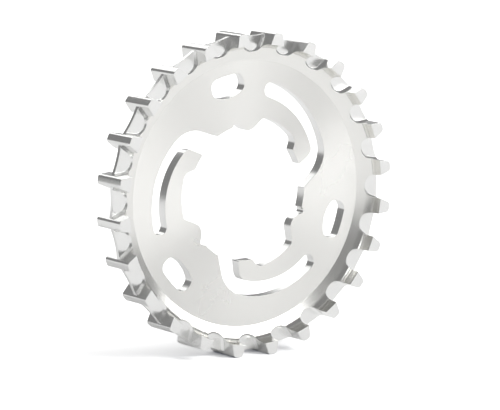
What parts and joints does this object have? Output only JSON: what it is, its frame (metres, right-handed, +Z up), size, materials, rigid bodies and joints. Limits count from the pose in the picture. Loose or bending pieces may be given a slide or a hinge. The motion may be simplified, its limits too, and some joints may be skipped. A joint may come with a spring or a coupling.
{
  "type": "belt drive sprocket",
  "caption": "Dished steel sprocket for a toothed bicycle belt, with a guide fin between its teeth, lugs and sprung arms for the hub, curved slots and oblong windows.",
  "frame": {"origin": "where the spin axis meets the outer face of the plate", "axes": "-Y is the way the outer face looks, +Y points to the bicycle's hub along the spin axis, and +Z is up with two teeth at the bottom"},
  "size_m": [0.0822, 0.0108, 0.0822],
  "materials": {
    "steel": "turned and polished stainless steel, left bare"
  },
  "bodies": {
    "root": {"belt_sprocket": "steel"}
  },
  "joints": []
}
